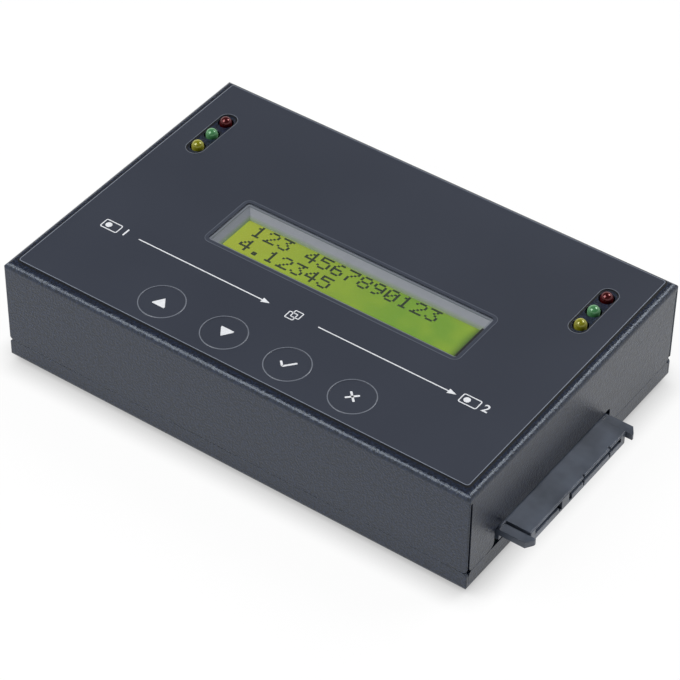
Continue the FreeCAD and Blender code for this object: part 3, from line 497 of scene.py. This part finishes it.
def printed_triangle(key_name, heading):
    """A solid triangle; heading is +1 for up the panel and -1 for down it."""
    middle = key_middles[key_name]
    base = middle.y - heading * triangle_height / 2
    sign = start_plane("sign_" + key_name, middle.x - triangle_half_width,
                       middle.x + triangle_half_width, base - triangle_foot,
                       base + triangle_foot, panel_level)
    choose_edges(sign, lambda point: (point.y - base) * heading > triangle_foot / 2)
    bpy.ops.mesh.extrude_region_move(
        TRANSFORM_OT_translate={"value": (0, heading * (triangle_height - triangle_foot), 0)})
    bpy.ops.mesh.merge(type="CENTER")
    give_height(ink_height)
    finish_piece(sign, ink, key_name + "_key")


def printed_stroke(name, centre, length, angle, body):
    """A straight stroke with rounded ends, at an angle in degrees."""
    bar = start_plane(name, -length / 2, length / 2, -stroke_width / 2, stroke_width / 2, 0)
    bpy.ops.mesh.bevel(offset=stroke_width * 0.32, affect="VERTICES", segments=4)
    give_height(ink_height)
    bar.rotation_euler = (0, 0, math.radians(angle))
    bar.location = (centre.x, centre.y, panel_level)
    place_in_mesh()
    finish_piece(bar, ink, body)


printed_triangle("up", 1)
printed_triangle("down", -1)
tick = key_middles["ok"]
printed_stroke("sign_ok_long", tick + Vector((0.5, 0.15, 0)) * MM, tick_long, 50, "ok_key")
printed_stroke("sign_ok_short", tick + Vector((-1.15, -0.5, 0)) * MM, tick_short, -45,
               "ok_key")
printed_stroke("sign_esc_rising", key_middles["esc"], cross_length, 45, "esc_key")
printed_stroke("sign_esc_falling", key_middles["esc"], cross_length, -45, "esc_key")


# ---------------------------------------------------------------- display window
# A clear film flush with the panel, printed with a grey border where it overlaps the steel.
# A fine pale line of painted highlight rings the border, and a dark strip of painted shadow
# lies past the display's collar at the right.
window_low, window_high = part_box("display_window")
window_middle = (window_low + window_high) / 2
window_width = window_high.x - window_low.x
window_depth = window_high.y - window_low.y
window_rim = 0.8 * MM
border_corner = 1.6 * MM
border_line_corner = 1.7 * MM
end_shadow_width = 0.5 * MM
end_shadow_left = window_high.x - window_rim - 0.55 * MM
end_shadow_front = window_low.y + 1.3 * MM
end_shadow_rear = window_high.y - 4.9 * MM

clear_film = Finish("clear_film", linear(120, 126, 130), 0.12)
clear_film.set("Alpha", 0.06)
clear_film.bump(clear_film.noise(300), 0.01 * MM, 0.05)
coat_nodes(clear_film, "display_window")
border_film = Finish("window_border", linear(52, 57, 69), 0.35)
border_film.bump(border_film.noise(4000), 0.01 * MM, 0.2)

printed_frame("window_border", window_middle.x, window_middle.y, window_width, window_depth,
              window_rim, border_corner, border_film)
# The outer line is pale as a painted highlight along the border's edge.
printed_frame("window_border_outer_line", window_middle.x, window_middle.y,
              window_width + painted_highlight_width, window_depth + painted_highlight_width,
              painted_highlight_width / 2, border_line_corner, pale_ridge_highlight)
# Painted shadow: a dark strip on the film where the collar's right side would shade the glass.
end_shadow_strip = start_plane("window_end_painted_shadow", end_shadow_left, end_shadow_left + end_shadow_width,
                      end_shadow_front, end_shadow_rear, panel_level)
give_height(ink_height)
finish_piece(end_shadow_strip, painted_shadow_line, "chassis")


# ---------------------------------------------------------------- character display
# A pressed, tin-plated can round yellow-green glass, lit from behind.
# The can's sloping sides carry painted green light low down and a painted glow, though the can
# is no lamp; painted shade darkens two sides of the glass.
# Dark dots in cells of five by seven make the figures of its two lines.
glass_low, glass_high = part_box("lcd_glass")
painted_green_light_height = 1.0 * MM
view_rear = 4.6 * MM
view_end = 33.65 * MM
shade_softness = 1.8

tin = Finish("tin_plate", linear(96, 100, 107), 0.45)
tin.gloss(tin.noise(700), 0.4, 0.5)
# Painted light: green low down near the glass, grey above, and the same colour given off as a
# glow.
above_glass = tin.ranged(tin.axes()["Z"], From_Min=glass_high.z,
                         From_Max=glass_high.z + painted_green_light_height)
tin_painted_glow = tin.ramp(above_glass, linear(70, 92, 34), linear(92, 96, 104), 0.1, 0.75)
tin.colour(tin_painted_glow)
tin.glow(tin_painted_glow, 0.55)
coat_nodes(tin, "lcd_bezel")

crystal = Finish("lit_display_glass", linear(112, 140, 40), 0.2)
across = crystal.axes()
from_left = crystal.ranged(across["X"], From_Min=glass_low.x, From_Max=glass_high.x)
light = crystal.ramp(from_left, linear(138, 148, 34), linear(96, 132, 30), 0.05, 0.7)
patches = crystal.ranged(crystal.noise(120, 1.5), From_Min=0.45, From_Max=0.7, To_Max=0.5)
light = crystal.mixed(patches, light, linear(132, 152, 32))
# Painted shade: the glass darkens towards its rear edge and its right end, where the can would
# shade it.
from_rear = crystal.ranged(across["Y"], From_Min=view_rear - 1.1 * MM,
                           From_Max=view_rear + 0.6 * MM, To_Max=0.5)
from_end = crystal.ranged(across["X"], From_Min=view_end - 2.6 * MM, From_Max=view_end)
edge_shade = crystal.add("ShaderNodeMath")
edge_shade.operation = "POWER"
edge_shade.inputs[1].default_value = shade_softness
crystal.join(crystal.combined("MAXIMUM", from_rear, from_end), edge_shade.inputs[0])
light = crystal.mixed(edge_shade.outputs["Value"], light, linear(26, 42, 12))
crystal.colour(light)
crystal.glow(light, 0.36)
coat_nodes(crystal, "lcd_glass", "lcd_backlight")

dot_ink = Finish("display_dots", linear(26, 40, 6), 0.6)
dot_ink.colour(dot_ink.ramp(dot_ink.noise(900), linear(22, 34, 4), linear(32, 46, 8)))
dot_ink.set("Specular IOR Level", 0.2)

dot_rows = {
    "0": "01110 10001 10011 10101 11001 10001 01110",
    "1": "00100 01100 00100 00100 00100 00100 01110",
    "2": "01110 10001 00001 00010 00100 01000 11111",
    "3": "11111 00010 00100 00010 00001 10001 01110",
    "4": "00010 00110 01010 10010 11111 00010 00010",
    "5": "11111 10000 11110 00001 00001 10001 01110",
    "6": "00110 01000 10000 11110 10001 10001 01110",
    "7": "11111 00001 00010 00100 01000 01000 01000",
    "8": "01110 10001 10001 01110 10001 10001 01110",
    "9": "01110 10001 10001 01111 00001 00010 01100",
    ".": "00000 00000 00000 00000 00000 01100 01100",
    " ": "00000 00000 00000 00000 00000 00000 00000",
}
cell_columns = 6
cell_rows = 7
character_pitch = 3.55 * MM
line_pitch = 5.0 * MM
text_left = -25.2 * MM
text_top = 4.45 * MM
dot_depth = 0.55 * MM
dot_gap = 0.03 * MM
dot_height = 0.02 * MM
dot_level = glass_high.z + 0.01 * MM


def display_line(name, figures, top):
    """A grid with one face per dot, less the faces that stay clear."""
    columns = len(figures) * cell_columns
    width = len(figures) * character_pitch
    depth = cell_rows * dot_depth
    bpy.ops.object.select_all(action="DESELECT")
    bpy.ops.mesh.primitive_grid_add(
        x_subdivisions=columns, y_subdivisions=cell_rows, size=1,
        location=(text_left + width / 2, top - depth / 2, dot_level))
    line = bpy.context.object
    line.name = name
    line.scale = (width, depth, 1)
    place_in_mesh()
    bpy.ops.object.mode_set(mode="EDIT")
    bpy.ops.mesh.select_mode(type="FACE")
    bpy.ops.mesh.select_all(action="DESELECT")
    bpy.ops.object.mode_set(mode="OBJECT")
    for face in line.data.polygons:
        column = int((face.center.x - text_left) / width * columns)
        row = int((top - face.center.y) / dot_depth)
        cell, column_in_cell = divmod(column, cell_columns)
        dots = dot_rows[figures[cell]].split()[row] + "0"
        face.select = dots[column_in_cell] == "0"
    bpy.ops.object.mode_set(mode="EDIT")
    bpy.ops.mesh.delete(type="FACE")
    bpy.ops.mesh.select_all(action="SELECT")
    bpy.ops.mesh.inset(thickness=dot_gap / 2, use_individual=True)
    bpy.ops.mesh.select_all(action="INVERT")
    bpy.ops.mesh.delete(type="FACE")
    give_height(dot_height)
    finish_piece(line, dot_ink, "chassis")


display_line("display_line_upper", "123 4567890123", text_top)
display_line("display_line_lower", "4.12345", text_top - line_pitch)


# ---------------------------------------------------------------- status lamps
# Three-millimetre lamps of tinted epoxy, red, green and yellow from the rear, in black holders.
# They stand in a slot with round ends, cut in the film and in the steel under it.
# Its pale outline is painted highlight and its dark inner band painted shadow.
slot_y = 21.7 * MM
slot_width = 4.4 * MM
slot_length = 16.5 * MM
slot_highlight_width = 0.13 * MM
slot_shade_line = 0.35 * MM
slot_corner = slot_width / 2 - 0.001 * MM


def lamp_lens(name, pale, deep, tint, node):
    """Tinted epoxy: deep where it is looked into, and paler towards its edge as a painted
    sheen.
    """
    lens = Finish(name, deep, 0.12)
    lens.set("Specular IOR Level", 0.9)
    lens.set("Specular Tint", tint)
    # Painted sheen: the colour pales where the surface turns away from view.
    painted_rim_sheen = lens.add("ShaderNodeLayerWeight", Blend=0.35)
    lens.colour(lens.ramp(painted_rim_sheen.outputs["Facing"], deep, pale, 0.15, 0.8))
    coat_nodes(lens, node)


lamp_lens("red_lens", linear(92, 22, 24), linear(46, 0, 2), (1, 0.4, 0.4, 1), "red_lamps")
lamp_lens("green_lens", linear(124, 176, 130), linear(60, 116, 72), (0.7, 1, 0.75, 1),
          "green_lamps")
lamp_lens("yellow_lens", linear(186, 184, 84), linear(112, 112, 8), (1, 1, 0.55, 1),
          "yellow_lamps")
coat_nodes(black_moulding, "source_lamp_holder", "target_lamp_holder")

for slot_name, slot_x in (("source", -51.5 * MM), ("target", 50.75 * MM)):
    # A pale line of painted highlight rings each slot, and a band of painted shadow lines its
    # inside.
    printed_frame(slot_name + "_slot_edge_highlight", slot_x, slot_y, slot_width + 2 * slot_highlight_width,
                  slot_length + 2 * slot_highlight_width, slot_highlight_width,
                  slot_corner + slot_highlight_width, pale_ridge_highlight, segments=12)
    printed_frame(slot_name + "_slot_shade", slot_x, slot_y, slot_width, slot_length,
                  slot_shade_line, slot_corner, painted_shadow_line, panel_low.z, 12)


# ---------------------------------------------------------------- drive receptacles
# Moulded charcoal housings, soldered to the main board and let out through the end walls,
# with gold-flashed spring contacts in the channels of their slots.
charcoal = Finish("charcoal_moulding", linear(58, 64, 74), 0.34)
charcoal.colour(charcoal.ramp(charcoal.noise(160), linear(62, 69, 81), linear(84, 92, 106),
                              0.35, 0.65))
charcoal.bump(charcoal.noise(3600), 0.02 * MM, 0.3, 0.16 * MM)
coat_nodes(charcoal, "target_receptacle", "source_receptacle")

gold = Finish("gold_flash", linear(226, 184, 98), 0.25, 1.0)
gold.gloss(gold.noise(1200), 0.2, 0.34)
coat_nodes(gold, "target_contacts", "source_contacts")


# ---------------------------------------------------------------- rear wall
# A barrel inlet behind a round hole, and a snap-in rocker switch in black plastic.
# A ring and a bar, moulded in white on the two halves of the rocker, say off and on.
rocker_joint = next(joint for joint in frame["record"]["behaviour"]["joints"]
                    if joint["name"] == "power_rocker_tilt")
rocker_axis = Vector(rocker_joint["pos_m"])
rocker_rest_turn = math.radians(-7)
mark_from_middle = 2.4 * MM
mark_depth = 3.155 * MM
mark_lean = math.radians(7.4)
off_ring_radius = 0.9 * MM
off_ring_line_radius = 0.16 * MM
off_ring_flatness = 0.35
on_bar_half_width = 0.18 * MM
on_bar_half_length = 1.1 * MM
on_bar_corner = 0.12 * MM
on_bar_height = 0.06 * MM

coat_nodes(black_moulding, "dc_jack_housing", "power_switch_housing")
coat_nodes(rocker_black, "power_rocker")
bright_metal = Finish("bright_metal", linear(198, 200, 204), 0.28, 1.0)
bright_metal.gloss(bright_metal.noise(900), 0.22, 0.38)
coat_nodes(bright_metal, "dc_jack_pin", "dc_jack_spring", "switch_terminals")


def lay_on_rocker(mark, side):
    """Carry a flat mark made at the origin, facing up, to one half of the rocker's crown."""
    on_crown = (Matrix.Translation((side * mark_from_middle, mark_depth, 0))
                @ Matrix.Rotation(side * mark_lean, 4, "Z"))
    mark.matrix_world = (Matrix.Translation(rocker_axis)
                         @ Matrix.Rotation(rocker_rest_turn, 4, "Z") @ on_crown
                         @ Matrix.Rotation(-math.pi / 2, 4, "X"))
    place_in_mesh()
    finish_piece(mark, ink, "rocker")


bpy.ops.object.select_all(action="DESELECT")
bpy.ops.mesh.primitive_torus_add(major_radius=off_ring_radius,
                                 minor_radius=off_ring_line_radius, major_segments=40,
                                 minor_segments=8, location=(0, 0, 0))
off_mark = bpy.context.object
off_mark.name = "rocker_off_mark"
off_mark.scale = (1, 1, off_ring_flatness)
place_in_mesh()
bpy.ops.object.shade_smooth()
lay_on_rocker(off_mark, 1)

on_mark = start_plane("rocker_on_mark", -on_bar_half_width, on_bar_half_width,
                      -on_bar_half_length, on_bar_half_length, 0)
bpy.ops.mesh.bevel(offset=on_bar_corner, affect="VERTICES", segments=3)
give_height(on_bar_height)
lay_on_rocker(on_mark, -1)


# ---------------------------------------------------------------- underside
# Four soft rubber pads, stuck to the tray near its corners, that the case stands on.
# Four low screws in black oxide, beside them, hold the tray to the cover's pillars.
soft_rubber = Finish("foot_rubber", linear(34, 34, 36), 0.8)
soft_rubber.bump(soft_rubber.noise(1500), 0.05 * MM, 0.5)
coat_nodes(soft_rubber, "rubber_feet")
black_oxide = Finish("black_oxide", linear(38, 38, 41), 0.4, 0.6)
black_oxide.gloss(black_oxide.noise(1600), 0.32, 0.5)
coat_nodes(black_oxide, "case_screws")


# ---------------------------------------------------------------- boards and their parts
# Green glass-epoxy boards for the display, the keys and the copying, with what is soldered to
# them, the headers that join them, and the zinc-plated pillars, studs and screws that hold
# them in the case. The power switch's two red wires end in a nylon plug.
laminate = Finish("green_laminate", linear(22, 92, 52), 0.3)
laminate.colour(laminate.ramp(laminate.noise(500), linear(18, 84, 46), linear(28, 100, 58)))
coat_nodes(laminate, "main_board", "key_board", "lcd_board")
zinc = Finish("zinc_plate", linear(176, 178, 182), 0.35, 1.0)
zinc.gloss(zinc.noise(800), 0.28, 0.45)
coat_nodes(zinc, "cover_pillars", "panel_studs", "stud_screws", "board_standoffs",
           "board_screws", "clock_crystals", "filter_capacitors")
epoxy = Finish("chip_epoxy", linear(32, 32, 35), 0.5)
epoxy.bump(epoxy.noise(2600), 0.03 * MM, 0.4)
coat_nodes(epoxy, "copy_controller", "firmware_memory", "voltage_regulators",
           "lcd_driver_blobs", "power_inductors", "chip_resistors")
zebra = Finish("layered_rubber", linear(120, 112, 106), 0.7)
zebra.colour(zebra.ramp(zebra.noise(2000), linear(96, 88, 84), linear(150, 142, 134)))
coat_nodes(zebra, "lcd_zebra_strips")
red_wire = Finish("red_wire", linear(150, 24, 20), 0.35)
red_wire.bump(red_wire.noise(900), 0.02 * MM, 0.2)
coat_nodes(red_wire, "switch_leads")
nylon = Finish("natural_nylon", linear(226, 222, 208), 0.45)
nylon.bump(nylon.noise(900), 0.02 * MM, 0.3)
coat_nodes(nylon, "switch_plug")
coat_nodes(black_moulding, "strip_headers", "strip_sockets")
coat_nodes(rocker_black, "buzzer")
coat_nodes(gold, "strip_pins")
coat_nodes(bright_metal, "lamp_leads", "chip_pins")
